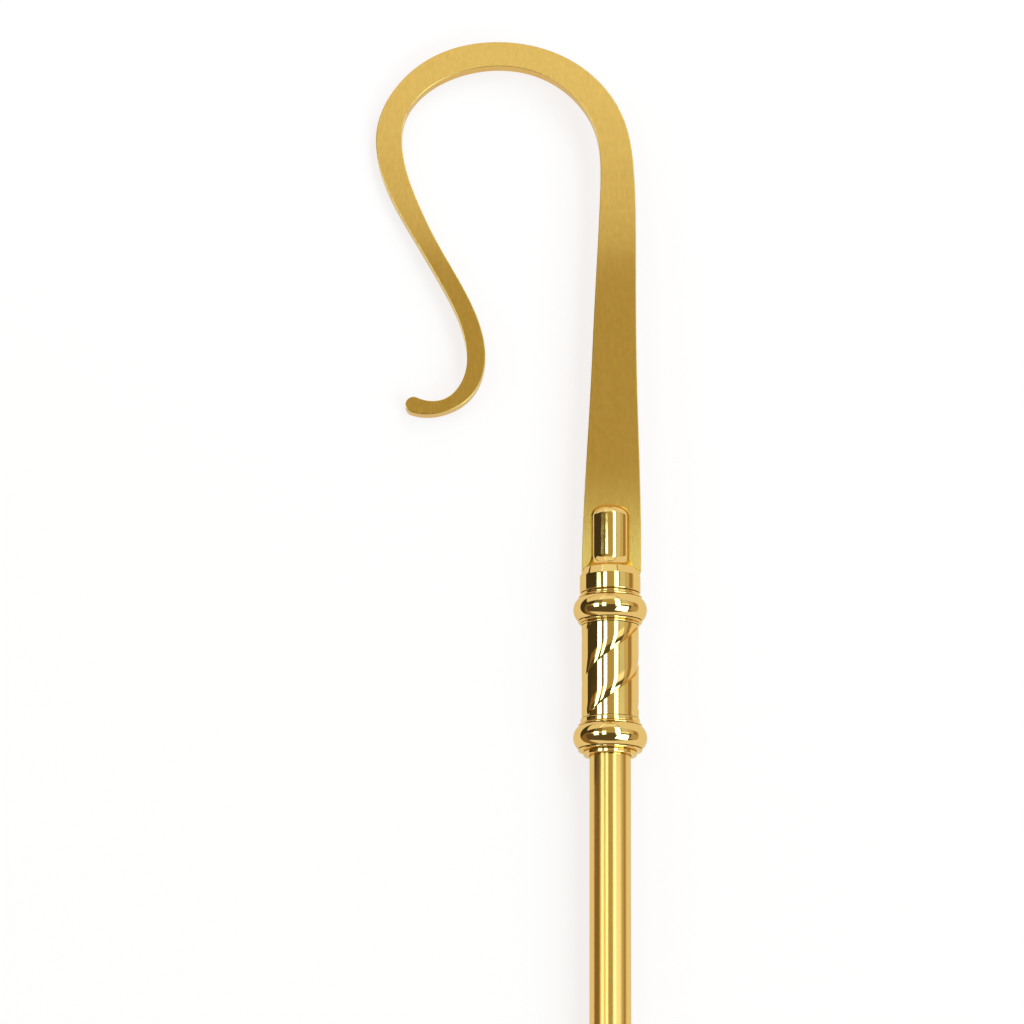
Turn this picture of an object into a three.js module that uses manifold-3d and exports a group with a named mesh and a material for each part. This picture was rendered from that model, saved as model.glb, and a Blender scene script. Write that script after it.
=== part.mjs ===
// A bishop's crosier of solid brass, lying on a flat surface. A flat crook stands in a slotted cap,
// and below it come a bead ring, a twisted barrel, a second bead ring, a tube staff and its foot.
//
// Every piece is modelled in the staff's own frame, in millimetres: the staff's axis is Y, with +Y
// towards the crook, +Z out of the crook's front face, +X away from its curled end, and y = 0 level
// with the cap's shoulder. The whole is then laid down with +Z up, and it rests on the
// foot's edge, the lower bead and the edge of the crook, so it can't roll.

import * as THREE from 'three';
import { mergeVertices } from 'three/addons/utils/BufferGeometryUtils.js';
import Module from 'manifold-3d';

// ---- Driving dimensions ----

const OVERALL_LENGTH = 1850;
const SEAT_GAP = 0.3;
const ROUND_SIDES = 40;
const ARC_STEPS = 4;

// The crook: a flat plate whose outline follows a centreline.
const PLATE_THICKNESS = 9.5;
const CROOK_OFFSET = 0.7;
const CROOK_STEP = 5;
const TIP_STEPS = 8;

// Stations along the crook's centreline: the distance from its foot, the direction it heads in
// (degrees, with 0 along +X and 90 straight up the staff) and half of the plate's width there.
const CROOK_STATIONS = [
  { at: 0, heading: 89.2, half: 18.3 },
  { at: 130, heading: 89.2, half: 14.1 },
  { at: 228, heading: 89.2, half: 11.5 },
  { at: 270, heading: 96.7, half: 10.1 },
  { at: 310, heading: 128.9, half: 9.3 },
  { at: 360, heading: 167.9, half: 8.1 },
  { at: 410, heading: 202.5, half: 8.2 },
  { at: 450, heading: 238.4, half: 7.5 },
  { at: 480, heading: 273.1, half: 8.2 },
  { at: 510, heading: 291.7, half: 7.4 },
  { at: 550, heading: 298.9, half: 5.7 },
  { at: 590, heading: 296.8, half: 5.6 },
  { at: 625, heading: 276.9, half: 5.8 },
  { at: 650, heading: 240.8, half: 5.2 },
  { at: 670, heading: 199.6, half: 4.0 },
  { at: 690, heading: 158.4, half: 5.0 },
];

// The slotted cap: a round-topped boss that flares through a cove to a sloping shoulder and a collar.
const BOSS_RADIUS = 12.85;
const BOSS_TOP = 40.7;
const BOSS_ROUNDING = 7.5;
const COVE_RADIUS = 9.1;
const COVE_CENTRE_HEIGHT = 8.2;
const COVE_END_ANGLE = 57;
const SHOULDER_RADIUS = 1;
const SLOPE_ANGLE = 17.5;
const COLLAR_BEND_RADIUS = 2;
const COLLAR_RADIUS = 18.8;
const COLLAR_BOTTOM = -14.5;
const COLLAR_CHAMFER = 0.8;
const SLOT_FLOOR = -3.3;

// The bead rings: a round bulge between two thin rings, with a plain lip at each end.
const BULGE_RADIUS = 22.8;
const BULGE_HALF_HEIGHT = 6.8;
const BULGE_DROP = 3;
const BULGE_STEPS = 8;
const RING_HEIGHT = 1.8;
const RING_RADIUS = 19.7;
const LIP_RADIUS = 18.3;
const LIP_EDGE = 0.6;
const UPPER_BEAD_HEIGHT = 20.1;
const UPPER_BEAD_LIP = 1.6;
const LOWER_BEAD_TOP_LIP = 3.1;
const LOWER_BEAD_BOTTOM_LIP = 2.6;
const LOWER_BEAD_BOTTOM_RADIUS = 16.5;
const STAFF_SOCKET_DEPTH = 12;

// The barrel: ribbons wound round it, each with a crisp upper edge and a soft, dipping lower one.
const BARREL_RADIUS = 17.6;
const BARREL_LENGTH = 58;
const RIBBONS = 3;
const RIBBON_LEAD = 83;
const RIBBON_START = 18.5;
const RIBBON_DEPTH = 1.05;
const RIBBON_DIP_FROM = 0.62;
const RIBBON_COLUMNS = 13;
const RIBBON_LAST_COLUMN = 0.98;
const BARREL_RINGS = 22;
const BARREL_PLAIN_END = 4;

// The staff and the ferrule on its foot.
const STAFF_RADIUS = 12.7;
const STAFF_WALL = 1.6;
const FERRULE_RADIUS = 14;
const FERRULE_LENGTH = 40;
const FERRULE_EDGE = 1.5;
const FERRULE_RIM = 0.5;
const FERRULE_FLOOR = 5;

const SATIN_BRASS = { color: 0xc8a050, roughness: 0.38, metalness: 1 };
const POLISHED_BRASS = { color: 0xe6c073, roughness: 0.08, metalness: 1 };

// ---- Where each piece sits along the staff ----

const upperBeadTop = COLLAR_BOTTOM - SEAT_GAP;
const upperBeadMiddle = upperBeadTop - UPPER_BEAD_LIP - RING_HEIGHT - BULGE_HALF_HEIGHT;
const barrelTop = upperBeadTop - UPPER_BEAD_HEIGHT - SEAT_GAP;
const barrelBottom = barrelTop - BARREL_LENGTH;
const lowerBeadTop = barrelBottom - SEAT_GAP;
const lowerBeadMiddle = lowerBeadTop - LOWER_BEAD_TOP_LIP - RING_HEIGHT - BULGE_HALF_HEIGHT;
const lowerBeadBottom = lowerBeadMiddle - BULGE_HALF_HEIGHT - RING_HEIGHT - LOWER_BEAD_BOTTOM_LIP;
const staffTop = lowerBeadBottom + STAFF_SOCKET_DEPTH - SEAT_GAP;

// ---- Shared geometry ----

const radians = THREE.MathUtils.degToRad;
const point = (x, y) => new THREE.Vector2(x, y);

// Points of a circular arc round (centreX, centreY), between two angles in degrees.
function arc(centreX, centreY, radius, from, to, steps = ARC_STEPS) {
  const points = [];
  for (let i = 0; i <= steps; i += 1) {
    const angle = radians(from + ((to - from) * i) / steps);
    points.push(point(centreX + radius * Math.cos(angle), centreY + radius * Math.sin(angle)));
  }
  return points;
}

const wasm = await Module();
wasm.setup();

// Shared vertices merged, and the triangles that collapsed onto the axis left out.
function mergedTriangles(geometry) {
  const bare = new THREE.BufferGeometry();
  bare.setAttribute('position', geometry.getAttribute('position'));
  bare.setIndex(geometry.getIndex());
  const merged = mergeVertices(bare, 1e-4);
  const index = merged.getIndex().array;
  const kept = [];
  for (let i = 0; i < index.length; i += 3) {
    const [a, b, c] = [index[i], index[i + 1], index[i + 2]];
    if (a !== b && b !== c && c !== a) kept.push(a, b, c);
  }
  merged.setIndex(kept);
  return merged;
}

function toSolid(geometry) {
  const merged = mergedTriangles(geometry);
  const vertProperties = new Float32Array(merged.getAttribute('position').array);
  const triVerts = new Uint32Array(merged.getIndex().array);
  return new wasm.Manifold(new wasm.Mesh({ numProp: 3, vertProperties, triVerts }));
}

function toGeometry(solid) {
  const mesh = solid.getMesh();
  const geometry = new THREE.BufferGeometry();
  geometry.setAttribute('position', new THREE.BufferAttribute(new Float32Array(mesh.vertProperties), 3));
  geometry.setIndex(Array.from(mesh.triVerts));
  return geometry;
}

function namedMesh(name, geometry, finish) {
  geometry.computeVertexNormals();
  const mesh = new THREE.Mesh(geometry, new THREE.MeshStandardMaterial(finish));
  mesh.name = name;
  return mesh;
}

// ---- The crook ----

// A smooth value at a distance along the crook: a cubic through the stations, whose slope at each
// station is that of the line between its neighbours.
function alongCrook(key, at) {
  const last = CROOK_STATIONS.length - 1;
  const slopeAt = (i) => {
    const before = CROOK_STATIONS[Math.max(i - 1, 0)];
    const after = CROOK_STATIONS[Math.min(i + 1, last)];
    return i === 0 ? 0 : (after[key] - before[key]) / (after.at - before.at);
  };
  let i = 0;
  while (i < last - 1 && CROOK_STATIONS[i + 1].at <= at) i += 1;
  const from = CROOK_STATIONS[i];
  const to = CROOK_STATIONS[i + 1];
  const span = to.at - from.at;
  const t = (at - from.at) / span;
  const stay = 2 * t ** 3 - 3 * t ** 2 + 1;
  const rise = t ** 3 - 2 * t ** 2 + t;
  const settle = t ** 3 - t ** 2;
  return stay * from[key] + (1 - stay) * to[key] + span * (rise * slopeAt(i) + settle * slopeAt(i + 1));
}

// The centreline, walked in short straight steps from the foot to the middle of the round tip.
function crookCentreline() {
  const length = CROOK_STATIONS.at(-1).at;
  const stops = [];
  let x = CROOK_OFFSET;
  let y = 0;
  for (let at = 0; at <= length; at += 1) {
    stops.push({ at, x, y, heading: radians(alongCrook('heading', at)), half: alongCrook('half', at) });
    const middle = radians(alongCrook('heading', Math.min(at + 0.5, length)));
    x += Math.cos(middle);
    y += Math.sin(middle);
  }
  return stops.filter((stop) => stop.at % CROOK_STEP === 0);
}

// Up the right-hand edge, round the tip and back down the left-hand edge. The foot reaches down
// into the cap's slot and is cut square to the staff's axis.
function crookOutline() {
  const stops = crookCentreline();
  const edge = (stop, turn) => {
    const side = stop.heading + turn;
    const y = stop.at > 0 ? stop.y + stop.half * Math.sin(side) : SLOT_FLOOR + SEAT_GAP;
    return point(stop.x + stop.half * Math.cos(side), y);
  };
  const right = stops.map((stop) => edge(stop, -Math.PI / 2));
  const left = stops.map((stop) => edge(stop, Math.PI / 2)).reverse();
  const tip = [];
  for (let i = 1; i < TIP_STEPS; i += 1) {
    tip.push(edge(stops.at(-1), Math.PI * (i / TIP_STEPS - 0.5)));
  }
  return [...right, ...tip, ...left];
}

function hook() {
  const shape = new THREE.Shape(crookOutline());
  const geometry = new THREE.ExtrudeGeometry(shape, { depth: PLATE_THICKNESS, bevelEnabled: false });
  geometry.translate(0, 0, -PLATE_THICKNESS / 2);
  return namedMesh('hook', geometry, SATIN_BRASS);
}

// ---- The turned pieces ----

// A piece turned about the staff's axis, from a profile of points (radius, height) that runs from
// the bottom up. One line of its vertices points straight down once the crosier lies.
function turned(profile, roll) {
  return new THREE.LatheGeometry(profile, ROUND_SIDES, -roll);
}

// The shoulder's arc ends where the cove does, and a straight slope joins it to the collar's bend.
function capProfile() {
  const coveX = BOSS_RADIUS + COVE_RADIUS;
  const [coveEnd, slope] = [radians(COVE_END_ANGLE), radians(SLOPE_ANGLE)];
  const shoulderX = coveX - (COVE_RADIUS + SHOULDER_RADIUS) * Math.cos(coveEnd);
  const shoulderY = COVE_CENTRE_HEIGHT - (COVE_RADIUS + SHOULDER_RADIUS) * Math.sin(coveEnd);
  const bendX = COLLAR_RADIUS - COLLAR_BEND_RADIUS;
  const slopeRun = COLLAR_BEND_RADIUS - SHOULDER_RADIUS + (bendX - shoulderX) * Math.cos(slope);
  const bendY = shoulderY - slopeRun / Math.sin(slope);
  return [
    point(0, COLLAR_BOTTOM),
    point(COLLAR_RADIUS - COLLAR_CHAMFER, COLLAR_BOTTOM),
    point(COLLAR_RADIUS, COLLAR_BOTTOM + COLLAR_CHAMFER),
    ...arc(bendX, bendY, COLLAR_BEND_RADIUS, 0, SLOPE_ANGLE, 2),
    ...arc(shoulderX, shoulderY, SHOULDER_RADIUS, SLOPE_ANGLE, COVE_END_ANGLE, 3),
    ...arc(coveX, COVE_CENTRE_HEIGHT, COVE_RADIUS, 180 + COVE_END_ANGLE, 180).slice(1),
    ...arc(BOSS_RADIUS - BOSS_ROUNDING, BOSS_TOP - BOSS_ROUNDING, BOSS_ROUNDING, 0, 90, 6),
    point(0, BOSS_TOP),
  ];
}

function socketCap(roll) {
  const wide = 4 * COLLAR_RADIUS;
  const tall = 2 * BOSS_TOP;
  const slot = new THREE.BoxGeometry(wide, tall, PLATE_THICKNESS + 2 * SEAT_GAP);
  slot.translate(0, SLOT_FLOOR + tall / 2, 0);
  const cap = toSolid(turned(capProfile(), roll)).subtract(toSolid(slot));
  return namedMesh('socket_cap', toGeometry(cap), POLISHED_BRASS);
}

// The round bulge: an arc through the bead's widest point, as high as the bulge and as deep as its drop.
function bulge(middle) {
  const curve = (BULGE_HALF_HEIGHT ** 2 + BULGE_DROP ** 2) / (2 * BULGE_DROP);
  const half = THREE.MathUtils.radToDeg(Math.asin(BULGE_HALF_HEIGHT / curve));
  return arc(BULGE_RADIUS - curve, middle, curve, -half, half, BULGE_STEPS);
}

// A thin ring with rounded edges, its flat side between two heights.
function ring(bottom) {
  const edge = RING_HEIGHT / 4;
  return [
    point(RING_RADIUS - edge, bottom),
    point(RING_RADIUS, bottom + edge),
    point(RING_RADIUS, bottom + RING_HEIGHT - edge),
    point(RING_RADIUS - edge, bottom + RING_HEIGHT),
  ];
}

function upperBead(roll) {
  const bottom = upperBeadTop - UPPER_BEAD_HEIGHT;
  const lowerRing = upperBeadMiddle - BULGE_HALF_HEIGHT - RING_HEIGHT;
  const profile = [
    point(0, bottom),
    point(LIP_RADIUS - LIP_EDGE, bottom),
    point(LIP_RADIUS, bottom + LIP_EDGE),
    point(LIP_RADIUS, lowerRing),
    ...ring(lowerRing),
    ...bulge(upperBeadMiddle),
    ...ring(upperBeadMiddle + BULGE_HALF_HEIGHT),
    point(LIP_RADIUS, upperBeadTop - UPPER_BEAD_LIP),
    point(LIP_RADIUS, upperBeadTop - LIP_EDGE),
    point(LIP_RADIUS - LIP_EDGE, upperBeadTop),
    point(0, upperBeadTop),
  ];
  return namedMesh('upper_bead', turned(profile, roll), POLISHED_BRASS);
}

// The lower bead has a blind socket in its underside, which the staff stands in.
function lowerBead(roll) {
  const socketRadius = STAFF_RADIUS + SEAT_GAP;
  const lipEdge = (LOWER_BEAD_BOTTOM_RADIUS - socketRadius) / 2;
  const profile = [
    point(0, lowerBeadBottom + STAFF_SOCKET_DEPTH),
    point(socketRadius, lowerBeadBottom + STAFF_SOCKET_DEPTH),
    point(socketRadius, lowerBeadBottom),
    point(LOWER_BEAD_BOTTOM_RADIUS - lipEdge, lowerBeadBottom),
    point(LOWER_BEAD_BOTTOM_RADIUS, lowerBeadBottom + lipEdge),
    point(LOWER_BEAD_BOTTOM_RADIUS, lowerBeadBottom + LOWER_BEAD_BOTTOM_LIP),
    ...ring(lowerBeadMiddle - BULGE_HALF_HEIGHT - RING_HEIGHT),
    ...bulge(lowerBeadMiddle),
    ...ring(lowerBeadMiddle + BULGE_HALF_HEIGHT),
    point(LIP_RADIUS, lowerBeadTop - LOWER_BEAD_TOP_LIP),
    point(LIP_RADIUS, lowerBeadTop - LIP_EDGE),
    point(LIP_RADIUS - LIP_EDGE, lowerBeadTop),
    point(0, lowerBeadTop),
  ];
  return namedMesh('lower_bead', turned(profile, roll), POLISHED_BRASS);
}

function staff(roll) {
  const bottom = footEnd + FERRULE_FLOOR + SEAT_GAP;
  const profile = [
    point(STAFF_RADIUS, bottom),
    point(STAFF_RADIUS, staffTop),
    point(STAFF_RADIUS - STAFF_WALL, staffTop),
    point(STAFF_RADIUS - STAFF_WALL, bottom),
    point(STAFF_RADIUS, bottom),
  ];
  return namedMesh('staff', turned(profile, roll), SATIN_BRASS);
}

// A thimble over the staff's foot, with a thick flat end.
function footFerrule(roll) {
  const top = footEnd + FERRULE_LENGTH;
  const inside = STAFF_RADIUS + SEAT_GAP;
  const edge = arc(FERRULE_RADIUS - FERRULE_EDGE, footEnd + FERRULE_EDGE, FERRULE_EDGE, -90, 0);
  const profile = [
    point(0, footEnd),
    ...edge,
    point(FERRULE_RADIUS, top - FERRULE_RIM),
    point(FERRULE_RADIUS - FERRULE_RIM, top),
    point(inside, top),
    point(inside, footEnd + FERRULE_FLOOR),
    point(0, footEnd + FERRULE_FLOOR),
  ];
  return namedMesh('foot_ferrule', turned(profile, roll), POLISHED_BRASS);
}

// ---- The twisted barrel ----

// How far a ribbon has dipped, from 0 at its crisp upper edge to 1 at its lower edge. It falls away
// ever more steeply, as the cube of the distance.
function ribbonDip(across) {
  return Math.max(0, (across - RIBBON_DIP_FROM) / (1 - RIBBON_DIP_FROM)) ** 3;
}

// Columns of vertices that follow the ribbons round and down the barrel, so that each crisp edge
// runs along a column. The barrel is plain and round at both ends.
function twistBarrel() {
  const across = Array.from({ length: RIBBON_COLUMNS }, (_, i) => i / RIBBON_COLUMNS);
  across.push(RIBBON_LAST_COLUMN);
  const columns = RIBBONS * across.length;
  const positions = [];
  for (let ringIndex = 0; ringIndex <= BARREL_RINGS; ringIndex += 1) {
    const down = (BARREL_LENGTH * ringIndex) / BARREL_RINGS;
    const fromEnd = Math.min(down, BARREL_LENGTH - down);
    const carved = RIBBON_DEPTH * Math.min(1, fromEnd / BARREL_PLAIN_END);
    for (let column = 0; column < columns; column += 1) {
      const ribbon = Math.floor(column / across.length) + across[column % across.length];
      const angle = 2 * Math.PI * (ribbon / RIBBONS + (RIBBON_START - down) / RIBBON_LEAD);
      const radius = BARREL_RADIUS - carved * ribbonDip(across[column % across.length]);
      positions.push(radius * Math.sin(angle), barrelTop - down, radius * Math.cos(angle));
    }
  }
  const topCentre = positions.length / 3;
  positions.push(0, barrelTop, 0, 0, barrelBottom, 0);

  const triangles = [];
  const lastRing = BARREL_RINGS * columns;
  for (let column = 0; column < columns; column += 1) {
    const next = (column + 1) % columns;
    triangles.push(topCentre, column, next);
    triangles.push(topCentre + 1, lastRing + next, lastRing + column);
    for (let start = 0; start < lastRing; start += columns) {
      const [upper, upperNext] = [start + column, start + next];
      const [lower, lowerNext] = [upper + columns, upperNext + columns];
      triangles.push(upper, lower, upperNext);
      triangles.push(upperNext, lower, lowerNext);
    }
  }
  const geometry = new THREE.BufferGeometry();
  geometry.setAttribute('position', new THREE.Float32BufferAttribute(positions, 3));
  geometry.setIndex(triangles);
  return namedMesh('twist_barrel', geometry, POLISHED_BRASS);
}

// ---- How it lies ----

const outline = crookOutline();
const crookTop = Math.max(...outline.map((edge) => edge.y));
const footEnd = crookTop - OVERALL_LENGTH;

// The axis rises from the thin foot to the wide lower bead, and the crook tips over until its
// lower edge touches the floor.
function lyingPose() {
  const footContact = footEnd + FERRULE_EDGE;
  const pitch = Math.atan((BULGE_RADIUS - FERRULE_RADIUS) / (lowerBeadMiddle - footContact));
  const axisHeight = (y) => FERRULE_RADIUS + (y - footContact) * Math.tan(pitch);
  const half = PLATE_THICKNESS / 2;
  const rolls = outline
    .filter((edge) => edge.x < -axisHeight(edge.y))
    .map((edge) => Math.asin(axisHeight(edge.y) / Math.hypot(edge.x, half)) - Math.atan(half / -edge.x));
  return { pitch, roll: -Math.min(...rolls) };
}

const { pitch, roll } = lyingPose();
const pose = new THREE.Group();
pose.rotation.set(pitch, roll, 0, 'XYZ');
pose.add(
  hook(),
  socketCap(roll),
  upperBead(roll),
  twistBarrel(),
  lowerBead(roll),
  staff(roll),
  footFerrule(roll),
);

// The origin is under the middle of the lying crosier, on the surface it lies on.
const box = new THREE.Box3().setFromObject(pose, true);
const middle = box.getCenter(new THREE.Vector3());
pose.position.set(-middle.x, -middle.y, -box.min.z);

const crosier = new THREE.Group();
crosier.name = 'crosier';
crosier.add(pose);

export default crosier;
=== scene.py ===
"""A bishop's crosier of brass, lying on a pale studio floor.

The pieces are modelled in the staff's own frame, in millimetres: the staff's axis is Y, with +Y
towards the crook, +Z out of the crook's front face, +X away from its curled end, and y = 0 level
with the cap's shoulder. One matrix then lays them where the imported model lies, in metres.
"""

from math import asin, atan, cos, degrees, hypot, pi, radians, sin, tan

import bmesh
import bpy
from mathutils import Matrix, Vector


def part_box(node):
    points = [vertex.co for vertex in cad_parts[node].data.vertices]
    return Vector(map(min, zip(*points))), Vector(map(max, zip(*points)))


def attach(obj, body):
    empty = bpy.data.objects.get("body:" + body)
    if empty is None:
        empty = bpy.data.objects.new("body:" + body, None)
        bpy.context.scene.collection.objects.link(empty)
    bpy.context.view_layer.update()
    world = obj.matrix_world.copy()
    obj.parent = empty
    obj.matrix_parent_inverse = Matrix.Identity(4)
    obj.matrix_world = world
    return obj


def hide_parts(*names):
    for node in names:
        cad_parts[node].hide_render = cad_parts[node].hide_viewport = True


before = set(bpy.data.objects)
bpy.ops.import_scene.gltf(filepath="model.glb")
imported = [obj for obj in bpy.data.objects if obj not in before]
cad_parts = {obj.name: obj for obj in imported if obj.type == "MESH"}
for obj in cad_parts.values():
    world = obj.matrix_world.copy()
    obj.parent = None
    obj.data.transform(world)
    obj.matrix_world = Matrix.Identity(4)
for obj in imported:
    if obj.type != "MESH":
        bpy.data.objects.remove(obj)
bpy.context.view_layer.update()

METRES = 0.001

# ---- Driving dimensions: lengths in millimetres, angles in degrees ----

OVERALL_LENGTH = 1850
SEAT_GAP = 0.3
TURNED_SIDES = 192
ARC_STEP = 6

PLATE_THICKNESS = 9.5
PLATE_EDGE = 0.4
PLATE_EDGE_STEPS = 4
CROOK_OFFSET = 0.7
FOOT_ROUNDING = 3
FOOT_STEPS = 8
TIP_STEPS = 24

# Stations along the crook's centreline: the distance from its foot, the direction it heads in
# (0 along +X and 90 straight up the staff) and half of the plate's width there.
CROOK_STATIONS = [
    (0, 89.2, 18.3),
    (130, 89.2, 14.1),
    (228, 89.2, 11.5),
    (270, 96.7, 10.1),
    (310, 128.9, 9.3),
    (360, 167.9, 8.1),
    (410, 202.5, 8.2),
    (450, 238.4, 7.5),
    (480, 273.1, 8.2),
    (510, 291.7, 7.4),
    (550, 298.9, 5.7),
    (590, 296.8, 5.6),
    (625, 276.9, 5.8),
    (650, 240.8, 5.2),
    (670, 199.6, 4.0),
    (690, 158.4, 5.0),
]

BOSS_RADIUS = 12.85
BOSS_TOP = 40.7
BOSS_ROUNDING = 7.5
COVE_RADIUS = 9.1
COVE_CENTRE_HEIGHT = 8.2
COVE_END_ANGLE = 57
SHOULDER_RADIUS = 1
SLOPE_ANGLE = 17.5
COLLAR_BEND_RADIUS = 2
COLLAR_RADIUS = 18.8
COLLAR_BOTTOM = -14.5
COLLAR_EDGE = 0.8
SLOT_FLOOR = -3.3
SLOT_OVERSHOOT = 10

BULGE_RADIUS = 22.8
BULGE_HALF_HEIGHT = 6.8
BULGE_DROP = 3
RING_HEIGHT = 1.8
RING_RADIUS = 19.7
GROOVE_DEPTH = 1.4
GROOVE_WIDTH = 0.5
LIP_RADIUS = 18.3
LIP_EDGE = 0.6
UPPER_BEAD_HEIGHT = 20.1
UPPER_BEAD_LIP = 1.6
LOWER_BEAD_TOP_LIP = 3.1
LOWER_BEAD_BOTTOM_LIP = 2.6
LOWER_BEAD_BOTTOM_RADIUS = 16.5
STAFF_SOCKET_DEPTH = 12

BARREL_RADIUS = 17.6
BARREL_LENGTH = 58
RIBBONS = 3
RIBBON_LEAD = 83
RIBBON_START = 18.5
RIBBON_DEPTH = 1.05
RIBBON_DIP_FROM = 0.62  # of the way across a ribbon
RIBBON_LAST_COLUMN = 0.985  # of the way across it too: the crisp edge falls in what is left
RIBBON_COLUMNS = 60
BARREL_RINGS = 180
BARREL_PLAIN_END = 4

STAFF_RADIUS = 12.7
STAFF_WALL = 1.6
FERRULE_RADIUS = 14
FERRULE_LENGTH = 40
FERRULE_EDGE = 1.5
FERRULE_RIM = 0.5
FERRULE_FLOOR = 5

# ---- Where each piece sits along the staff ----

upper_bead_top = COLLAR_BOTTOM - SEAT_GAP
upper_bead_middle = upper_bead_top - UPPER_BEAD_LIP - RING_HEIGHT - BULGE_HALF_HEIGHT
upper_bead_bottom = upper_bead_top - UPPER_BEAD_HEIGHT
barrel_top = upper_bead_bottom - SEAT_GAP
barrel_bottom = barrel_top - BARREL_LENGTH
lower_bead_top = barrel_bottom - SEAT_GAP
lower_bead_middle = lower_bead_top - LOWER_BEAD_TOP_LIP - RING_HEIGHT - BULGE_HALF_HEIGHT
lower_bead_bottom = lower_bead_middle - BULGE_HALF_HEIGHT - RING_HEIGHT - LOWER_BEAD_BOTTOM_LIP
staff_top = lower_bead_bottom + STAFF_SOCKET_DEPTH - SEAT_GAP

# ---- The crook's path ----


def along_crook(column, at):
    """A smooth value along the crook: a cubic through the stations, whose slope at each station
    is that of the line between its neighbours."""
    last = len(CROOK_STATIONS) - 1

    def slope(i):
        before, after = CROOK_STATIONS[max(i - 1, 0)], CROOK_STATIONS[min(i + 1, last)]
        return 0 if i == 0 else (after[column] - before[column]) / (after[0] - before[0])

    i = 0
    while i < last - 1 and CROOK_STATIONS[i + 1][0] <= at:
        i += 1
    start, end = CROOK_STATIONS[i], CROOK_STATIONS[i + 1]
    span = end[0] - start[0]
    t = (at - start[0]) / span
    stay = 2 * t**3 - 3 * t**2 + 1
    bend = (t**3 - 2 * t**2 + t) * slope(i) + (t**3 - t**2) * slope(i + 1)
    return stay * start[column] + (1 - stay) * end[column] + span * bend


def crook_stops():
    """Stops 1 mm apart from the foot to the middle of the tip: (x, y, heading, half width)."""
    length = CROOK_STATIONS[-1][0]
    x, y = CROOK_OFFSET, 0
    stops = []
    for at in range(length + 1):
        stops.append((x, y, radians(along_crook(1, at)), along_crook(2, at)))
        middle = radians(along_crook(1, min(at + 0.5, length)))
        x, y = x + cos(middle), y + sin(middle)
    return stops


def crook_edge(stop, side):
    """The plate's edge at a stop: side is 1 to the left of the heading and -1 to its right."""
    x, y, heading, half = stop
    outwards = heading + side * pi / 2
    return x + half * cos(outwards), y + half * sin(outwards)


stops = crook_stops()
crook_top = max(crook_edge(stop, -1)[1] for stop in stops)
foot_end = crook_top - OVERALL_LENGTH

# ---- How it lies ----


def lying_angles():
    """The pitch that the wide bead and thin foot give the axis, and the roll that brings the
    crook's lower edge to the floor."""
    foot_contact = foot_end + FERRULE_EDGE
    pitch = atan((BULGE_RADIUS - FERRULE_RADIUS) / (lower_bead_middle - foot_contact))
    thick = PLATE_THICKNESS / 2
    rolls = []
    for stop in stops:
        for side in (1, -1):
            edge_x, edge_y = crook_edge(stop, side)
            height = FERRULE_RADIUS + (edge_y - foot_contact) * tan(pitch)
            if edge_x < -height:
                rolls.append(asin(height / hypot(edge_x, thick)) - atan(-thick / edge_x))
    return pitch, -min(rolls)


pitch, roll = lying_angles()
lying_turn = Matrix.Rotation(pitch, 4, "X") @ Matrix.Rotation(roll, 4, "Y")


def lying_matrix():
    """From the staff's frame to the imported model's: over its foot, and level with its crook's top."""
    foot_low, foot_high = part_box("foot_ferrule")
    crook_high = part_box("hook")[1]
    back = -PLATE_THICKNESS / 2
    reach = max((lying_turn @ Vector((*crook_edge(stop, -1), back))).y for stop in stops)
    height = BULGE_RADIUS * cos(pitch) - lower_bead_middle * sin(pitch)
    place = Vector(((foot_low.x + foot_high.x) / 2, crook_high.y - reach * METRES, height * METRES))
    return Matrix.Translation(place) @ lying_turn


placing = lying_matrix()

# ---- Mesh tools ----

SHARP_ANGLE = 35  # degrees
LARGE_FACE_WEIGHT = 80
MERGE_DISTANCE = 1e-6  # metres


def shade(mesh):
    """Shades a mesh smooth, but for its sharp edges."""
    mesh.shade_smooth()
    mesh.set_sharp_from_angle(angle=radians(SHARP_ANGLE))


def add_piece(name, vertices, faces, node, slot, material):
    """A smooth mesh that stands for a CAD node. Its vertices are in the staff's frame."""
    mesh = bpy.data.meshes.new(name)
    mesh.from_pydata([placing @ (Vector(v) * METRES) for v in vertices], [], faces)
    mesh.validate()
    shade(mesh)
    piece = bpy.data.objects.new(name, mesh)
    bpy.context.scene.collection.objects.link(piece)
    mesh.materials.append(material)
    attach(piece, "root")
    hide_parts(node)
    return piece


def keep_flats_flat(piece):
    """Shades each vertex by its largest faces, so that walls stay true up to their rounded edges."""
    weighted = piece.modifiers.new("flat_walls", "WEIGHTED_NORMAL")
    weighted.keep_sharp = True
    weighted.weight = LARGE_FACE_WEIGHT


def arc(centre_x, centre_y, radius, start, end):
    """Points of a circular arc, between two angles in degrees."""
    steps = max(2, round(abs(end - start) / ARC_STEP))
    angles = [radians(start + (end - start) * i / steps) for i in range(steps + 1)]
    return [(centre_x + radius * cos(a), centre_y + radius * sin(a)) for a in angles]


def lathe(profile):
    """Vertices and faces of a profile of (radius, height) turned about the staff's axis. With the
    radius drawn to the right, the profile runs with the metal on its left."""
    rows, vertices, faces = [], [], []
    for radius, height in profile:
        if radius == 0:
            rows.append([len(vertices)] * TURNED_SIDES)
            vertices.append((0, height, 0))
            continue
        rows.append(range(len(vertices), len(vertices) + TURNED_SIDES))
        for i in range(TURNED_SIDES):
            angle = 2 * pi * i / TURNED_SIDES
            vertices.append((radius * sin(angle), height, radius * cos(angle)))
    for lower, upper in zip(rows, rows[1:]):
        for i in range(TURNED_SIDES):
            j = (i + 1) % TURNED_SIDES
            corners = [lower[i], lower[j], upper[j], upper[i]]
            faces.append([c for k, c in enumerate(corners) if c != corners[k - 1]])
    return vertices, faces


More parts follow.
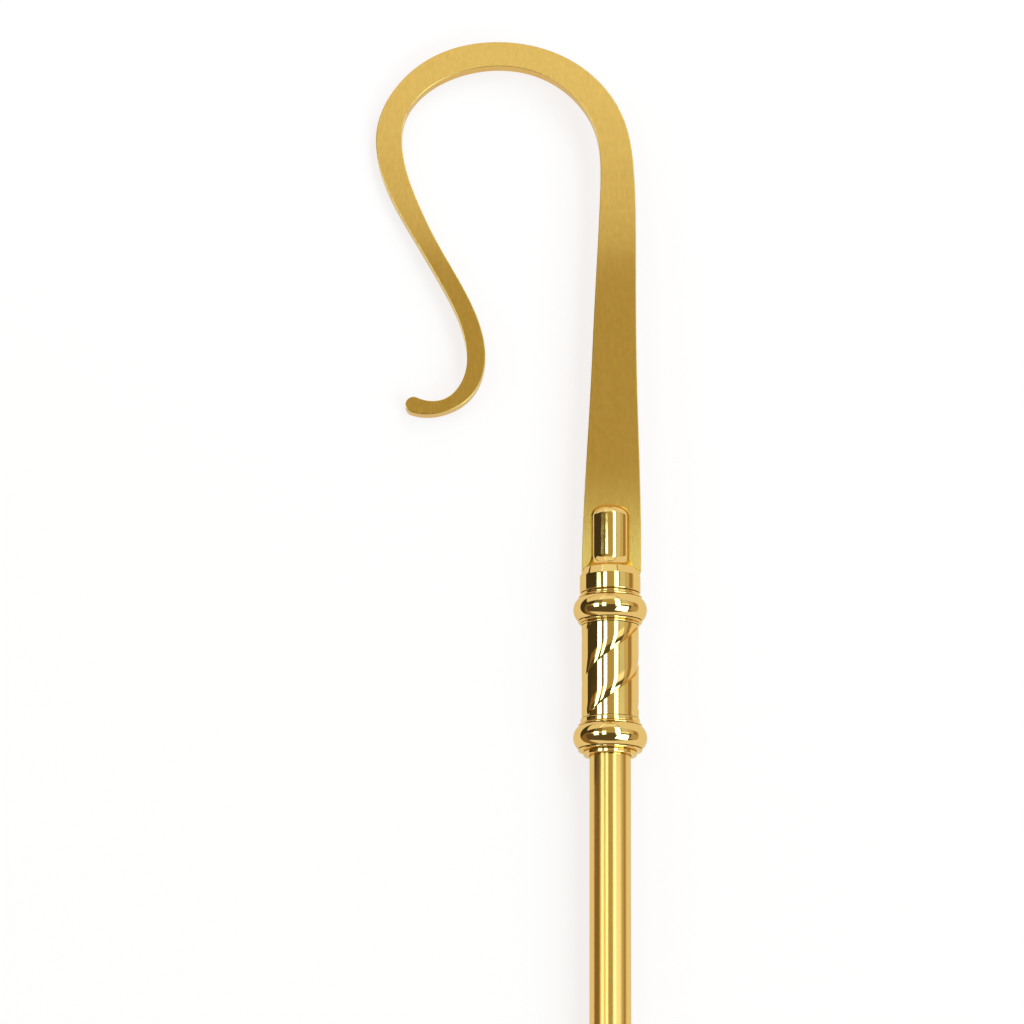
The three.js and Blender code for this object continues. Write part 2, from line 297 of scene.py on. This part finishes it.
def turned_piece(name, profile, node, slot, material):
    """A piece turned from a profile, in the staff's frame."""
    piece = add_piece(name, *lathe(profile), node, slot, material)
    keep_flats_flat(piece)
    return piece


# ---- Shader tools ----

NOISE_SPAN = (0.3, 0.7)


def math_node(tree, operation, *values):
    """One step of arithmetic on numbers and other nodes' outputs."""
    node = tree.nodes.new("ShaderNodeMath")
    node.operation = operation
    for socket, value in zip(node.inputs, values):
        if isinstance(value, bpy.types.NodeSocket):
            tree.links.new(value, socket)
        else:
            socket.default_value = value
    return node.outputs[0]


def dot(tree, vector, axis):
    """How far a vector reaches along an axis."""
    node = tree.nodes.new("ShaderNodeVectorMath")
    node.operation = "DOT_PRODUCT"
    tree.links.new(vector, node.inputs[0])
    node.inputs[1].default_value = axis
    return node.outputs["Value"]


def smooth_step(tree, value, start, end):
    """0 before start and 1 after end, with a smooth rise between them."""
    node = tree.nodes.new("ShaderNodeMapRange")
    node.interpolation_type = "SMOOTHSTEP"
    tree.links.new(value, node.inputs["Value"])
    node.inputs["From Min"].default_value = start
    node.inputs["From Max"].default_value = end
    return node.outputs["Result"]


def noise(tree, coordinates, stretch, detail=3):
    """Noise from 0 to 1 whose grain is 1 / stretch metres long on each axis."""
    mapping = tree.nodes.new("ShaderNodeMapping")
    mapping.inputs["Scale"].default_value = stretch
    tree.links.new(coordinates, mapping.inputs["Vector"])
    node = tree.nodes.new("ShaderNodeTexNoise")
    node.inputs["Scale"].default_value = 1
    node.inputs["Detail"].default_value = detail
    tree.links.new(mapping.outputs["Vector"], node.inputs["Vector"])
    return node.outputs["Fac"]


def spread(tree, value, low, high):
    """Noise, which seldom leaves the middle of its range, spread between two values."""
    node = tree.nodes.new("ShaderNodeMapRange")
    tree.links.new(value, node.inputs["Value"])
    node.inputs["From Min"].default_value = NOISE_SPAN[0]
    node.inputs["From Max"].default_value = NOISE_SPAN[1]
    node.inputs["To Min"].default_value = low
    node.inputs["To Max"].default_value = high
    return node.outputs["Result"]


def new_metal(name):
    """A plain metal, with its nodes and the place on the piece that their patterns follow."""
    material = bpy.data.materials.new(name)
    material.use_nodes = True
    tree = material.node_tree
    shader = tree.nodes["Principled BSDF"]
    shader.inputs["Metallic"].default_value = 1
    shader.inputs["Specular Tint"].default_value = GRAZING_TINT
    place = tree.nodes.new("ShaderNodeTexCoord").outputs["Object"]
    return material, tree, shader, place


def tint(tree, shader, amount, light, dark):
    """The base colour, drifting between two near shades."""
    mix = tree.nodes.new("ShaderNodeMix")
    mix.data_type = "RGBA"
    tree.links.new(amount, mix.inputs["Factor"])
    mix.inputs["A"].default_value = (*light, 1)
    mix.inputs["B"].default_value = (*dark, 1)
    tree.links.new(mix.outputs["Result"], shader.inputs["Base Color"])


def bump(tree, shader, height, distance):
    """Relief that rises by a distance, in metres, where the height goes from 0 to 1."""
    node = tree.nodes.new("ShaderNodeBump")
    node.inputs["Distance"].default_value = distance
    tree.links.new(height, node.inputs["Height"])
    tree.links.new(node.outputs["Normal"], shader.inputs["Normal"])


# ---- Materials ----

POLISHED_LIGHT = (0.80, 0.535, 0.175)
POLISHED_DARK = (0.77, 0.51, 0.16)
SATIN_LIGHT = (0.715, 0.43, 0.104)
SATIN_DARK = (0.645, 0.388, 0.089)
GRAZING_TINT = (0.91, 0.855, 0.68, 1)  # of the brass where it is seen edge on

# Stretches of the noises, in grains per metre along X, Y (the staff's length) and Z, and the
# depths of their relief, in metres.
POLISH_CLOUDS = (60, 60, 60)
POLISH_HAZE = (180, 180, 180)
POLISH_WAVES = (90, 90, 90)
POLISH_WAVE_DEPTH = 0.00001
PLATE_MOTTLE = (600, 250, 600)
PLATE_BRUSHING = (3200, 25, 3200)
PLATE_BRUSHING_DEPTH = 0.0000011
TUBE_CLOUDS = (60, 6, 60)
TUBE_BRUSHING = (2500, 15, 2500)
TUBE_BRUSHING_DEPTH = 0.000001

# Each finish's lowest and highest roughness.
POLISH_ROUGHNESS = (0.035, 0.075)
PLATE_ROUGHNESS = (0.14, 0.18)
TUBE_ROUGHNESS = (0.13, 0.17)
BRUSHED_ANISOTROPY = 0.6

# The plate's brushing coarsens between these heights above the cap's shoulder, in metres, and
# ends this much rougher.
COARSE_BRUSHING = (0.075, -0.004)
COARSE_ROUGHENING = 0.155


def polished_brass():
    """Buffed brass: a clear mirror with faint haze and the slightest waviness."""
    material, tree, shader, place = new_metal("polished_brass")
    tint(tree, shader, noise(tree, place, POLISH_CLOUDS), POLISHED_LIGHT, POLISHED_DARK)
    haze = noise(tree, place, POLISH_HAZE, detail=4)
    tree.links.new(spread(tree, haze, *POLISH_ROUGHNESS), shader.inputs["Roughness"])
    bump(tree, shader, noise(tree, place, POLISH_WAVES, detail=2), POLISH_WAVE_DEPTH)
    return material


def brushed(tree, shader, place, stretch, depth):
    """Fine scratches that run along the staff. They spread reflections across it."""
    shader.inputs["Anisotropic"].default_value = BRUSHED_ANISOTROPY
    tangent = tree.nodes.new("ShaderNodeTangent")
    tangent.direction_type = "RADIAL"
    tangent.axis = "Y"
    tree.links.new(tangent.outputs["Tangent"], shader.inputs["Tangent"])
    grain = noise(tree, place, stretch)
    bump(tree, shader, grain, depth)
    return grain


def satin_plate():
    """The crook's brushed brass: faintly mottled, and rougher near the cap."""
    material, tree, shader, place = new_metal("satin_plate")
    mottle = spread(tree, noise(tree, place, PLATE_MOTTLE), 0, 1)
    tint(tree, shader, mottle, SATIN_LIGHT, SATIN_DARK)
    grain = brushed(tree, shader, place, PLATE_BRUSHING, PLATE_BRUSHING_DEPTH)
    height = math_node(tree, "SUBTRACT", dot(tree, place, (0, 1, 0)), placing.translation.y)
    coarse = smooth_step(tree, height, *COARSE_BRUSHING)
    fine = spread(tree, grain, *PLATE_ROUGHNESS)
    rough = math_node(tree, "MULTIPLY_ADD", coarse, COARSE_ROUGHENING, fine)
    tree.links.new(rough, shader.inputs["Roughness"])
    return material


def satin_tube():
    """The staff's satin brass, in the polished pieces' own shades."""
    material, tree, shader, place = new_metal("satin_tube")
    tint(tree, shader, noise(tree, place, TUBE_CLOUDS), POLISHED_LIGHT, POLISHED_DARK)
    grain = brushed(tree, shader, place, TUBE_BRUSHING, TUBE_BRUSHING_DEPTH)
    tree.links.new(spread(tree, grain, *TUBE_ROUGHNESS), shader.inputs["Roughness"])
    return material


# ---- The crook ----


def crook_section(x, y, heading, half, lean):
    """The rounded rectangle of points round the plate at one stop. On the round tip, lean turns
    the two sides from square to the heading towards it."""
    thick = PLATE_THICKNESS / 2
    corner = []
    for i in range(PLATE_EDGE_STEPS + 1):
        angle = pi / 2 * i / PLATE_EDGE_STEPS
        corner.append((PLATE_EDGE * (1 - sin(angle)), thick - PLATE_EDGE * (1 - cos(angle))))
    right_side = corner + [(inset, -z) for inset, z in reversed(corner)]
    points = []
    for side, ring in ((-1, right_side), (1, right_side[::-1])):
        direction = heading + side * (pi / 2 - lean)
        for inset, z in ring:
            reach = half - inset
            points.append((x + reach * cos(direction), y + reach * sin(direction), z))
    return points


def hook(material):
    """The crook's plate: sections from its rounded foot, through every stop, round to the tip,
    where the two sides meet and are merged."""
    foot_x, _, _, foot_half = stops[0]
    rings = []
    for i in range(FOOT_STEPS + 1):
        angle = pi / 2 * i / FOOT_STEPS
        half = foot_half - FOOT_ROUNDING * (1 - sin(angle))
        height = SLOT_FLOOR + SEAT_GAP + FOOT_ROUNDING * (1 - cos(angle))
        rings.append(crook_section(foot_x, height, pi / 2, half, 0))
    rings += [crook_section(*stop, 0) for stop in stops[1:]]
    rings += [crook_section(*stops[-1], pi / 2 * i / TIP_STEPS) for i in range(1, TIP_STEPS + 1)]
    vertices = [point for ring in rings for point in ring]
    count = len(rings[0])
    faces = [list(range(count))]
    for start in range(0, len(vertices) - count, count):
        for i in range(count):
            j = (i + 1) % count
            faces.append([start + i, start + count + i, start + count + j, start + j])
    piece = add_piece("crook_plate", vertices, faces, "hook", "satin_plate", material)
    edit = bmesh.new()
    edit.from_mesh(piece.data)
    bmesh.ops.remove_doubles(edit, verts=edit.verts, dist=MERGE_DISTANCE)
    bmesh.ops.recalc_face_normals(edit, faces=edit.faces)
    edit.to_mesh(piece.data)
    edit.free()
    keep_flats_flat(piece)
    return piece


# ---- The turned pieces ----


def cap_profile():
    """The cap's profile: a collar, its slope and shoulder, a cove and the round boss."""
    cove_x = BOSS_RADIUS + COVE_RADIUS
    cove_end, slope = radians(COVE_END_ANGLE), radians(SLOPE_ANGLE)
    shoulder_x = cove_x - (COVE_RADIUS + SHOULDER_RADIUS) * cos(cove_end)
    shoulder_y = COVE_CENTRE_HEIGHT - (COVE_RADIUS + SHOULDER_RADIUS) * sin(cove_end)
    bend_x = COLLAR_RADIUS - COLLAR_BEND_RADIUS
    slope_run = COLLAR_BEND_RADIUS - SHOULDER_RADIUS + (bend_x - shoulder_x) * cos(slope)
    bend_y = shoulder_y - slope_run / sin(slope)
    return [
        (0, COLLAR_BOTTOM),
        *arc(COLLAR_RADIUS - COLLAR_EDGE, COLLAR_BOTTOM + COLLAR_EDGE, COLLAR_EDGE, -90, 0),
        *arc(bend_x, bend_y, COLLAR_BEND_RADIUS, 0, SLOPE_ANGLE),
        *arc(shoulder_x, shoulder_y, SHOULDER_RADIUS, SLOPE_ANGLE, COVE_END_ANGLE),
        *arc(cove_x, COVE_CENTRE_HEIGHT, COVE_RADIUS, 180 + COVE_END_ANGLE, 180)[1:],
        *arc(BOSS_RADIUS - BOSS_ROUNDING, BOSS_TOP - BOSS_ROUNDING, BOSS_ROUNDING, 0, 90),
        (0, BOSS_TOP),
    ]


def slot_cutter():
    """The slot that the plate's foot stands in, as a box to cut the cap with."""
    wide, tall = 2 * COLLAR_RADIUS, BOSS_TOP + SLOT_OVERSHOOT
    deep = PLATE_THICKNESS / 2 + SEAT_GAP
    mesh = bpy.data.meshes.new("slot")
    edit = bmesh.new()
    bmesh.ops.create_cube(edit, size=2)
    for vertex in edit.verts:
        x, y, z = vertex.co
        vertex.co = Vector((wide * x, SLOT_FLOOR if y < 0 else tall, deep * z)) * METRES
    edit.to_mesh(mesh)
    edit.free()
    cutter = bpy.data.objects.new("slot", mesh)
    bpy.context.scene.collection.objects.link(cutter)
    cutter.matrix_world = placing
    return cutter


def socket_cap(material):
    """The turned cap with its slot cut through."""
    cap = add_piece("slotted_cap", *lathe(cap_profile()), "socket_cap", "polished_brass", material)
    cutter = slot_cutter()
    cut = cap.modifiers.new("slot", "BOOLEAN")
    cut.operation = "DIFFERENCE"
    cut.object = cutter
    bpy.context.view_layer.update()
    shown = cap.evaluated_get(bpy.context.evaluated_depsgraph_get())
    mesh = bpy.data.meshes.new_from_object(shown)
    cap.modifiers.clear()
    cap.data = mesh
    bpy.data.objects.remove(cutter)
    shade(mesh)
    keep_flats_flat(cap)
    return cap


def bulge(middle):
    """The round bulge: an arc through the bead's widest point."""
    curve = (BULGE_HALF_HEIGHT**2 + BULGE_DROP**2) / (2 * BULGE_DROP)
    half = degrees(asin(BULGE_HALF_HEIGHT / curve))
    return arc(BULGE_RADIUS - curve, middle, curve, -half, half)


def ring(bottom):
    """A thin half-round ring between two narrow grooves."""
    bulging = RING_HEIGHT / 2 - GROOVE_WIDTH / 2
    middle = bottom + RING_HEIGHT / 2
    centre = RING_RADIUS - bulging
    return [
        (RING_RADIUS - GROOVE_DEPTH, bottom),
        *arc(centre, middle, bulging, -90, 90),
        (RING_RADIUS - GROOVE_DEPTH, bottom + RING_HEIGHT),
    ]


def lip(bottom, top, radius):
    """A short plain band with rounded edges."""
    edge = min(LIP_EDGE, (top - bottom) / 2)
    return [
        *arc(radius - edge, bottom + edge, edge, -90, 0),
        *arc(radius - edge, top - edge, edge, 0, 90),
    ]


def upper_bead(material):
    """The bead between the cap and the barrel: a bulge between two rings and two lips."""
    lower_ring = upper_bead_middle - BULGE_HALF_HEIGHT - RING_HEIGHT
    upper_ring = upper_bead_middle + BULGE_HALF_HEIGHT
    profile = [
        (0, upper_bead_bottom),
        *lip(upper_bead_bottom, lower_ring, LIP_RADIUS),
        *ring(lower_ring),
        *bulge(upper_bead_middle),
        *ring(upper_ring),
        *lip(upper_ring + RING_HEIGHT, upper_bead_top, LIP_RADIUS),
        (0, upper_bead_top),
    ]
    return turned_piece("bead_ring_upper", profile, "upper_bead", "polished_brass", material)


def lower_bead(material):
    """The bead below the barrel, with a blind socket in its foot for the staff."""
    socket_radius = STAFF_RADIUS + SEAT_GAP
    lower_ring = lower_bead_middle - BULGE_HALF_HEIGHT - RING_HEIGHT
    upper_ring = lower_bead_middle + BULGE_HALF_HEIGHT
    profile = [
        (0, lower_bead_bottom + STAFF_SOCKET_DEPTH),
        (socket_radius, lower_bead_bottom + STAFF_SOCKET_DEPTH),
        (socket_radius, lower_bead_bottom),
        *lip(lower_bead_bottom, lower_ring, LOWER_BEAD_BOTTOM_RADIUS),
        *ring(lower_ring),
        *bulge(lower_bead_middle),
        *ring(upper_ring),
        *lip(upper_ring + RING_HEIGHT, lower_bead_top, LIP_RADIUS),
        (0, lower_bead_top),
    ]
    return turned_piece("bead_ring_lower", profile, "lower_bead", "polished_brass", material)


def staff(material):
    """The staff's tube, from the ferrule's floor up into the lower bead."""
    bottom = foot_end + FERRULE_FLOOR + SEAT_GAP
    inside = STAFF_RADIUS - STAFF_WALL
    profile = [
        (STAFF_RADIUS, bottom),
        (STAFF_RADIUS, staff_top),
        (inside, staff_top),
        (inside, bottom),
        (STAFF_RADIUS, bottom),
    ]
    return turned_piece("staff_tube", profile, "staff", "satin_tube", material)


def foot_ferrule(material):
    """The plain cap that closes the staff's foot."""
    top = foot_end + FERRULE_LENGTH
    inside = STAFF_RADIUS + SEAT_GAP
    profile = [
        (0, foot_end),
        *arc(FERRULE_RADIUS - FERRULE_EDGE, foot_end + FERRULE_EDGE, FERRULE_EDGE, -90, 0),
        *arc(FERRULE_RADIUS - FERRULE_RIM, top - FERRULE_RIM, FERRULE_RIM, 0, 90),
        (inside, top),
        (inside, foot_end + FERRULE_FLOOR),
        (0, foot_end + FERRULE_FLOOR),
    ]
    return turned_piece("ferrule", profile, "foot_ferrule", "polished_brass", material)


# ---- The twisted barrel ----


def ribbon_dip(across):
    """How far a ribbon has dipped, from 0 at its crisp upper edge to 1 at its lower edge."""
    return max(0, (across - RIBBON_DIP_FROM) / (1 - RIBBON_DIP_FROM)) ** 3


def twist_barrel(material):
    """Columns of vertices that follow the ribbons, so that each crisp edge runs along a column."""
    across = [RIBBON_LAST_COLUMN * i / RIBBON_COLUMNS for i in range(RIBBON_COLUMNS + 1)]
    columns = RIBBONS * len(across)
    vertices, faces = [], []
    for i in range(BARREL_RINGS + 1):
        down = BARREL_LENGTH * i / BARREL_RINGS
        from_end = min(down, BARREL_LENGTH - down)
        carved = RIBBON_DEPTH * min(1, from_end / BARREL_PLAIN_END)
        for column in range(columns):
            place = across[column % len(across)]
            ribbon = column // len(across) + place
            angle = 2 * pi * (ribbon / RIBBONS + (RIBBON_START - down) / RIBBON_LEAD)
            radius = BARREL_RADIUS - carved * ribbon_dip(place)
            vertices.append((radius * sin(angle), barrel_top - down, radius * cos(angle)))
    faces.append(list(range(columns)))
    faces.append(list(range(BARREL_RINGS * columns, (BARREL_RINGS + 1) * columns))[::-1])
    for start in range(0, BARREL_RINGS * columns, columns):
        for i in range(columns):
            j = (i + 1) % columns
            faces.append([start + i, start + columns + i, start + columns + j, start + j])
    return add_piece("barrel_twisted", vertices, faces, "twist_barrel", "polished_brass", material)


# ---- The studio ----

WINDOW_DISTANCE = 5  # metres, as are the floor's sizes
FLOOR_SIZE = 60
FLOOR_DROP = 0.0001
FLOOR_COLOUR = (0.22, 0.16, 0.13, 1)
FLOOR_GLOW = 0.77

# Soft areas of light all round the staff, painted in this order. Each is a range of angles
# round the staff's axis (0 straight out of the crook's front, + to its right), a range of tilts
# towards the crook, the softness of its edges in degrees, and its colour.
SURROUNDINGS = [
    ("room", (-96, 110), (-80, 60), 3, (0.73, 0.68, 0.50)),
    ("left_wall", (-104, -51), (-80, 60), 3, (0.07, 0.06, 0.04)),
    ("left_ceiling", (-51, -27), (-10, 60), 3, (0.26, 0.23, 0.14)),
    ("right_wall", (76, 93), (-80, 60), 4, (0.44, 0.32, 0.17)),
    ("ceiling", (-27, 13), (-10, 60), 3, (0.56, 0.50, 0.28)),
    ("gap", (31, 36), (-10, 60), 1, (0.40, 0.40, 0.28)),
    ("sky", (36, 57), (-10, 60), 3, (0.80, 0.88, 0.85)),
    ("low_sky", (31, 60), (-10, 10.5), 2, (1.35, 1.45, 1.50)),
    ("low_gap", (-37, -26), (-10, 10.5), 1, (1.05, 0.85, 0.50)),
    ("low_wall", (-98, -61), (-10, 10.5), 2, (0.30, 0.20, 0.10)),
    ("low_glow", (-61, -51), (-10, 10.5), 2, (1.00, 0.90, 0.60)),
    ("camera_side", (-98, 108), (-80, 1), 4, (0.13, 0.11, 0.08)),
    ("camera_right", (68, 108), (-30, 1), 4, (0.60, 0.50, 0.35)),
]

# White cards close the surroundings at these tilts, straight over the staff, and bow inwards to
# its sides. Behind the panel over the crook, the second card is covered.
WHITE_CARD_TILTS = (-62, 44)
WHITE_CARD_BOW = 0.7
WHITE_CARD_SOFTNESS = 3
BEHIND_PANEL = ("behind_panel", (-36, 36), (44, 84), 2, (0.56, 0.50, 0.28))

# Studio windows: their angles round the staff and their tilts.
WINDOWS = [
    ("window_left", (-53, -37), (-12, 12.8)),
    ("window_mid", (-26, -14), (-12, 13.7)),
    ("window_right", (16, 30.5), (-12, 42)),
    ("window_low", (22, 60), (-46, -9)),
]
WINDOW_RADIANCE = 6.5
WINDOW_COLOUR = (0.44, 0.74, 1)
STAFF_WINDOW_RADIANCE = 1.9
STAFF_WINDOW_COLOUR = (0.74, 0.92, 1)

# Layers of the panel over the crook: where each starts along the staff, in metres, and its
# radiance. They build up into one soft front edge.
PANEL_LAYERS = [(0.325, 0.45), (0.355, 0.20), (0.40, 0.18), (0.44, 0.11)]
PANEL_COLOUR = (0.54, 0.70, 1)
PANEL_END = 1.5
PANEL_WIDTH = 0.6
PANEL_MIDDLE = -0.06
PANEL_HEIGHT = 0.42
PANEL_GAP = 0.005

# Cards on the floor to the left of the staff, clear of the crook. Each has two slanting ends,
# given as places along the staff at the card's near and far edges, in metres, and a colour.
FLOOR_CARD_EDGES = (-0.09, -25)
FLOOR_CARDS = [
    ("brown_card", (-25, -25), (-0.12, 4.5), (0.30, 0.20, 0.10)),
    ("dark_card", (-0.12, 4.5), (0.07, 12), (0.07, 0.06, 0.04)),
]


def staff_direction(around, tilt):
    """A direction given by its angle round the staff's axis and its tilt towards the crook."""
    around, tilt = radians(around), radians(tilt)
    return Vector((cos(tilt) * sin(around), sin(tilt), cos(tilt) * cos(around)))


def area_light(name, centre, facing, along, width, height, radiance, colour):
    """A rectangular light. Its centre and axes are in the staff's frame, in metres."""
    data = bpy.data.lights.new(name, "AREA")
    data.shape = "RECTANGLE"
    data.color = colour
    data.size, data.size_y = width, height
    data.energy = radiance * pi * width * height
    light = bpy.data.objects.new(name, data)
    bpy.context.scene.collection.objects.link(light)
    out = -facing.normalized()
    up = (along - out * along.dot(out)).normalized()
    right = up.cross(out)
    axes = Matrix((right, up, out)).transposed().to_4x4()
    light.matrix_world = placing @ Matrix.Translation(centre) @ axes
    light.visible_camera = False
    return light


def add_windows(name_end, radiance, colour, receivers):
    """The windows, which light only the collection of receivers."""
    pivot = Vector((0, upper_bead_middle * METRES, 0))
    for name, around, tilt in WINDOWS:
        middle = staff_direction(sum(around) / 2, sum(tilt) / 2)
        width = 2 * WINDOW_DISTANCE * tan(radians(around[1] - around[0]) / 2)
        height = 2 * WINDOW_DISTANCE * tan(radians(tilt[1] - tilt[0]) / 2)
        centre = pivot + middle * WINDOW_DISTANCE
        size = width, height
        along = Vector((0, 1, 0))
        light = area_light(name + name_end, centre, -middle, along, *size, radiance, colour)
        light.light_linking.receiver_collection = receivers


def light_windows(tube):
    """Bright windows for everything but the tube, and veiled ones for the tube's soft satin."""
    tube_only = bpy.data.collections.new("tube_only")
    all_but_tube = bpy.data.collections.new("all_but_tube")
    for receivers in (tube_only, all_but_tube):
        receivers.objects.link(tube)
    all_but_tube.collection_objects[0].light_linking.link_state = "EXCLUDE"
    add_windows("", WINDOW_RADIANCE, WINDOW_COLOUR, all_but_tube)
    add_windows("_veiled", STAFF_WINDOW_RADIANCE, STAFF_WINDOW_COLOUR, tube_only)


def add_panel():
    """A low panel over the top of the crook, which lights its upper part."""
    down, along = Vector((0, 0, -1)), Vector((0, 1, 0))
    for i, (start, radiance) in enumerate(PANEL_LAYERS):
        centre = Vector((PANEL_MIDDLE, (start + PANEL_END) / 2, PANEL_HEIGHT + i * PANEL_GAP))
        size = PANEL_WIDTH, PANEL_END - start
        area_light(f"panel_{i}", centre, down, along, *size, radiance, PANEL_COLOUR)


def add_floor_card(name, low_end, high_end, colour):
    """A card on the floor beside the staff, which only shows in reflections."""
    near, far = FLOOR_CARD_EDGES
    near_low, far_low = low_end
    near_high, far_high = high_end
    corners = [(far, far_low, 0), (near, near_low, 0), (near, near_high, 0), (far, far_high, 0)]
    mesh = bpy.data.meshes.new(name)
    mesh.from_pydata(corners, [], [(0, 1, 2, 3)])
    card = bpy.data.objects.new(name, mesh)
    card.location = (placing.translation.x, placing.translation.y, 0)
    bpy.context.scene.collection.objects.link(card)
    card.visible_camera = False
    card.visible_diffuse = False
    card.visible_shadow = False
    material = bpy.data.materials.new(name)
    material.use_nodes = True
    shader = material.node_tree.nodes["Principled BSDF"]
    shader.inputs["Base Color"].default_value = (0, 0, 0, 1)
    shader.inputs["Specular IOR Level"].default_value = 0
    shader.inputs["Emission Color"].default_value = (*colour, 1)
    shader.inputs["Emission Strength"].default_value = 1
    mesh.materials.append(material)


def band(tree, value, limits, soft):
    """1 between two limits and 0 outside them, with soft edges."""
    low, high = (radians(limit) for limit in limits)
    soft = radians(soft) / 2
    rise = smooth_step(tree, value, low - soft, low + soft)
    fall = smooth_step(tree, value, high - soft, high + soft)
    return math_node(tree, "SUBTRACT", rise, fall)


def add_world():
    """The surroundings and the white cards, painted round the staff's own axis."""
    world = bpy.data.worlds.new("studio")
    world.use_nodes = True
    bpy.context.scene.world = world
    tree = world.node_tree
    direction = tree.nodes.new("ShaderNodeTexCoord").outputs["Generated"]
    across, along, out = (dot(tree, direction, placing.col[i].xyz) for i in range(3))
    around = math_node(tree, "ARCTAN2", across, out)
    tilt = math_node(tree, "ARCSINE", along)

    def paint(colour, mask, tone, name):
        """Lays a tone, where the mask is 1, over the colour so far, or over white at first."""
        mix = tree.nodes.new("ShaderNodeMix")
        mix.label = name
        mix.data_type = "RGBA"
        mix.inputs["A"].default_value = (1, 1, 1, 1)
        mix.inputs["B"].default_value = (*tone, 1)
        tree.links.new(mask, mix.inputs["Factor"])
        if colour:
            tree.links.new(colour, mix.inputs["A"])
        return mix.outputs["Result"]

    def area(around_limits, tilt_limits, soft):
        """1 within a patch of the surroundings and 0 outside it."""
        sides, ends = band(tree, around, around_limits, soft), band(tree, tilt, tilt_limits, soft)
        return math_node(tree, "MULTIPLY", sides, ends)

    colour = None
    for name, around_limits, tilt_limits, soft, tone in SURROUNDINGS:
        colour = paint(colour, area(around_limits, tilt_limits, soft), tone, name)
    bow = math_node(tree, "COSINE", math_node(tree, "MULTIPLY", around, WHITE_CARD_BOW))
    bowed_tilt = math_node(tree, "DIVIDE", tilt, bow)
    between = band(tree, bowed_tilt, WHITE_CARD_TILTS, WHITE_CARD_SOFTNESS)
    cards = math_node(tree, "SUBTRACT", 1, between)
    colour = paint(colour, cards, (1, 1, 1), "cards")
    name, around_limits, tilt_limits, soft, tone = BEHIND_PANEL
    colour = paint(colour, area(around_limits, tilt_limits, soft), tone, name)
    tree.links.new(colour, tree.nodes["Background"].inputs["Color"])


def add_floor():
    """A matt floor that is pale from a glow of its own, so that shadows on it stay faint. Its warm
    base colour evens out the windows' blue."""
    mesh = bpy.data.meshes.new("floor")
    half = FLOOR_SIZE / 2
    corners = [(-half, -half, 0), (half, -half, 0), (half, half, 0), (-half, half, 0)]
    mesh.from_pydata(corners, [], [(0, 1, 2, 3)])
    floor = bpy.data.objects.new("floor", mesh)
    floor.location.z = -FLOOR_DROP
    bpy.context.scene.collection.objects.link(floor)
    material = bpy.data.materials.new("pale_floor")
    material.use_nodes = True
    shader = material.node_tree.nodes["Principled BSDF"]
    shader.inputs["Base Color"].default_value = FLOOR_COLOUR
    shader.inputs["Roughness"].default_value = 1
    shader.inputs["Specular IOR Level"].default_value = 0
    shader.inputs["Emission Color"].default_value = (1, 1, 1, 1)
    shader.inputs["Emission Strength"].default_value = FLOOR_GLOW
    mesh.materials.append(material)


# ---- The camera: its lengths are in millimetres and its angles in degrees ----

CAMERA_ANGLE = 13.3
CAMERA_ROLL = 0.25
CAMERA_DISTANCE = 3000
CAMERA_TARGET = (-60.85, 37.1, 0)
PICTURE_WIDTH = 634.88  # what the picture spans at the target
SENSOR_WIDTH = 36
CLOSEST_SEEN = 100
FURTHEST_SEEN = 100000


def add_camera():
    """Looks down on the crook's face from the foot's side, square to the plate but for its angle."""
    data = bpy.data.cameras.new("camera")
    data.sensor_width = SENSOR_WIDTH
    data.lens = SENSOR_WIDTH * CAMERA_DISTANCE / PICTURE_WIDTH
    data.clip_start, data.clip_end = CLOSEST_SEEN * METRES, FURTHEST_SEEN * METRES
    camera = bpy.data.objects.new("camera", data)
    bpy.context.scene.collection.objects.link(camera)
    back = Vector((0, -sin(radians(CAMERA_ANGLE)), cos(radians(CAMERA_ANGLE))))
    place = (Vector(CAMERA_TARGET) + back * CAMERA_DISTANCE) * METRES
    tip = Matrix.Rotation(radians(CAMERA_ANGLE), 4, "X") @ Matrix.Rotation(radians(CAMERA_ROLL), 4, "Z")
    camera.matrix_world = placing @ Matrix.Translation(place) @ tip
    bpy.context.scene.camera = camera


# ---- The scene ----

add_camera()
add_panel()
for card in FLOOR_CARDS:
    add_floor_card(*card)
add_world()
add_floor()

polished = polished_brass()
hook(satin_plate())
socket_cap(polished)
upper_bead(polished)
twist_barrel(polished)
lower_bead(polished)
light_windows(staff(satin_tube()))
foot_ferrule(polished)

bpy.context.scene.view_settings.view_transform = "Standard"
